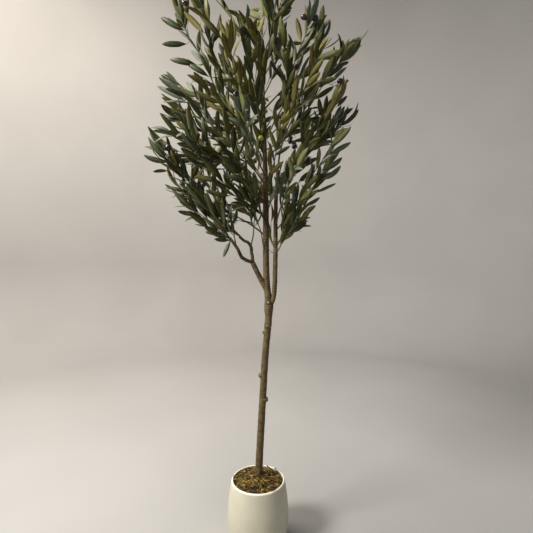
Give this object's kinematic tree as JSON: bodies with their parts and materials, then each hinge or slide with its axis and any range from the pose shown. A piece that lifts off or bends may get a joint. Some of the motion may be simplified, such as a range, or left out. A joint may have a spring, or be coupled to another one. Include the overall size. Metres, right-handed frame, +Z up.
{
  "type": "artificial olive tree in a pot",
  "caption": "Artificial olive tree: slim wrapped trunk with a side stem and a forked bough, a crown of leafy sprays with olives, in a round cream pot topped with wood wool.",
  "frame": {"origin": "centre of the pot's flat underside, on the floor", "axes": "+Z up along the tree, +X to the right and -Y to the front, as pictured"},
  "size_m": [0.6542, 0.6288, 1.817],
  "materials": {
    "pot": "smooth matt cream glaze",
    "filling": "rough cast plug",
    "moss": "dry loose wood wool",
    "bark": "wrapped bark with fine rings",
    "leaves": "printed cloth leaves, satin"
  },
  "bodies": {
    "root": {"pot": "pot", "pot_filling": "filling", "moss_topping": "moss", "trunk": "bark", "right_stem": "bark", "left_bough": "bark", "left_outer_branch": "bark", "left_upper_branch": "bark", "foliage_on_left_outer_branch": "leaves", "foliage_on_left_upper_branch": "leaves", "foliage_on_right_stem": "leaves", "foliage_on_trunk": "leaves", "foliage_01": "leaves", "foliage_02": "leaves", "foliage_03": "leaves", "foliage_04": "leaves", "foliage_05": "leaves", "foliage_06": "leaves", "foliage_07": "leaves", "foliage_08": "leaves", "foliage_09": "leaves", "foliage_10": "leaves", "foliage_11": "leaves", "foliage_12": "leaves", "foliage_13": "leaves", "foliage_14": "leaves", "foliage_15": "leaves", "foliage_16": "leaves", "foliage_17": "leaves", "foliage_18": "leaves", "foliage_19": "leaves"}
  },
  "joints": []
}
